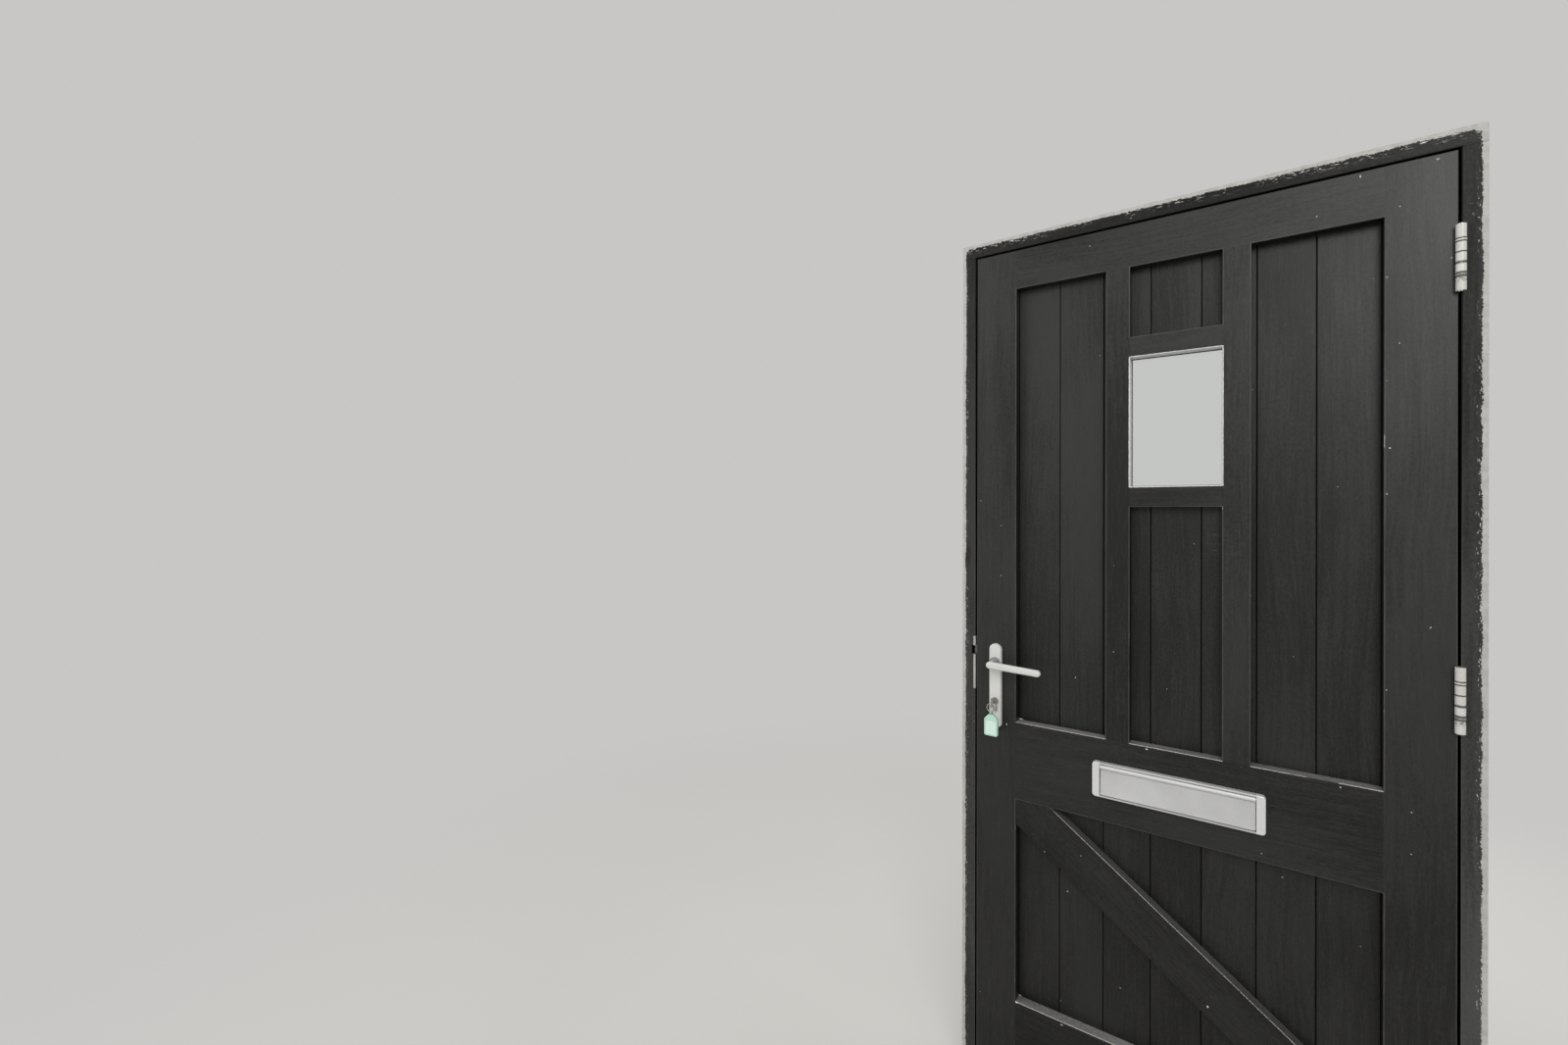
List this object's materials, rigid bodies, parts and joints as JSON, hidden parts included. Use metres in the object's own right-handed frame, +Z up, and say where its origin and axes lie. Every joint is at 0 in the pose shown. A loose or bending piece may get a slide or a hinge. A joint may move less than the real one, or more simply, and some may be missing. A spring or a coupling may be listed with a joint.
{
  "type": "panelled front door",
  "caption": "Framed and braced front door of tongued and grooved boards with a small pane, in its rebated frame, with lever lock, key, letter plate and butt hinges.",
  "frame": {"origin": "middle of the frame's width and depth at the sill's underside", "axes": "+X along the door towards the hinges, +Y to the outside, +Z up"},
  "size_m": [0.91, 0.157, 2.059],
  "materials": {
    "black_frame_paint": "satin paint",
    "black_leaf_paint": "satin paint",
    "black_board_paint": "satin paint",
    "seal_rubber": "matte",
    "hinge_paint": "gloss paint, worn",
    "hinge_steel": "satin",
    "water_bar_steel": "galvanised",
    "screw_steel": "satin",
    "strike_steel": "satin",
    "lock_steel": "bright zinc",
    "cylinder_nickel": "satin nickel",
    "key_nickel": "satin nickel",
    "tag_green": "moulded",
    "handle_white": "satin paint",
    "letter_aluminium": "satin anodised",
    "clear_glass": "clear"
  },
  "bodies": {
    "frame": {"sill": "black_frame_paint", "water_bar": "water_bar_steel", "head": "black_frame_paint", "lock_jamb": "black_frame_paint", "hinge_jamb": "black_frame_paint", "strike_plate": "strike_steel", "frame_screws": "screw_steel", "hinge_side_seal": "seal_rubber", "lock_side_seal": "seal_rubber", "head_seal": "seal_rubber", "frame_hinge_leaves": "hinge_paint", "hinge_pins": "hinge_steel", "hinge_bearings": "hinge_steel"},
    "leaf": {"hinge_stile": "black_leaf_paint", "lock_stile": "black_leaf_paint", "top_rail": "black_leaf_paint", "lock_rail": "black_leaf_paint", "bottom_rail": "black_leaf_paint", "lock_side_muntin": "black_leaf_paint", "hinge_side_muntin": "black_leaf_paint", "upper_glazing_rail": "black_leaf_paint", "lower_glazing_rail": "black_leaf_paint", "brace": "black_leaf_paint", "board_1": "black_board_paint", "board_2": "black_board_paint", "board_3": "black_board_paint", "board_4": "black_board_paint", "board_5": "black_board_paint", "board_6": "black_board_paint", "board_7": "black_board_paint", "glazing_beads": "black_board_paint", "glazing_tape": "seal_rubber", "door_hinge_leaves": "hinge_paint", "door_screws": "screw_steel", "handle_screws": "screw_steel", "letter_bolts": "screw_steel", "cylinder_screw": "screw_steel", "forend": "strike_steel", "lock_case": "lock_steel", "latch_spring": "lock_steel", "cylinder_body": "cylinder_nickel", "outer_plug": "cylinder_nickel", "inner_backplate": "handle_white", "outer_backplate": "handle_white", "inner_letter_frame": "letter_aluminium", "outer_letter_frame": "letter_aluminium", "glass_pane": "clear_glass"},
    "levers": {"inner_lever": "handle_white", "outer_lever": "handle_white", "lever_spindle": "lock_steel", "lock_follower": "lock_steel"},
    "latch": {"latch_bolt": "lock_steel"},
    "deadbolt_bar": {"deadbolt": "lock_steel"},
    "key_and_plug": {"inner_plug": "cylinder_nickel", "cylinder_cam": "cylinder_nickel", "key": "key_nickel"},
    "tag": {"key_ring": "key_nickel", "key_tag": "tag_green"},
    "inner_letter_flap": {"inner_flap": "letter_aluminium"},
    "outer_letter_flap": {"outer_flap": "letter_aluminium"}
  },
  "joints": [
    {"name": "door_swing", "type": "hinge", "parent": "frame", "child": "leaf", "pos_m": [0.4205, -0.0424, 1.0325], "axis": [0, 0, 1], "range_deg": [0, 110]},
    {"name": "lever_turn", "type": "hinge", "parent": "leaf", "child": "levers", "pos_m": [-0.371, -0.013, 1.042], "axis": [0, 1, 0], "range_deg": [0, 35], "stiffness_Nm_per_rad": 2, "springref_deg": -34.38},
    {"name": "latch_slide", "type": "slide", "parent": "leaf", "child": "latch", "axis": [1, 0, 0], "range_m": [0, 0.011]},
    {"name": "key_turn", "type": "hinge", "parent": "leaf", "child": "key_and_plug", "pos_m": [-0.371, -0.013, 0.95], "axis": [0, -1, 0], "range_deg": [0, 360]},
    {"name": "deadbolt_throw", "type": "slide", "parent": "leaf", "child": "deadbolt_bar", "axis": [-1, 0, 0], "range_m": [0, 0.02]},
    {"name": "tag_swing", "type": "hinge", "parent": "key_and_plug", "child": "tag", "pos_m": [-0.371, -0.07, 0.95], "axis": [-1, 0, 0], "range_deg": [-15, 60]},
    {"name": "inner_flap_swing", "type": "hinge", "parent": "leaf", "child": "inner_letter_flap", "pos_m": [0, -0.0436, 0.8454], "axis": [-1, 0, 0], "range_deg": [0, 80], "stiffness_Nm_per_rad": 0.05, "springref_deg": -57.3},
    {"name": "outer_flap_swing", "type": "hinge", "parent": "leaf", "child": "outer_letter_flap", "pos_m": [0, 0.0176, 0.8454], "axis": [1, 0, 0], "range_deg": [0, 80], "stiffness_Nm_per_rad": 0.05, "springref_deg": -57.3}
  ],
  "couplings": [
    {"joint": "latch_slide", "follows": "lever_turn", "m_per_rad": 0.018},
    {"joint": "key_turn", "follows": "deadbolt_throw", "rad_per_m": 314.16}
  ]
}
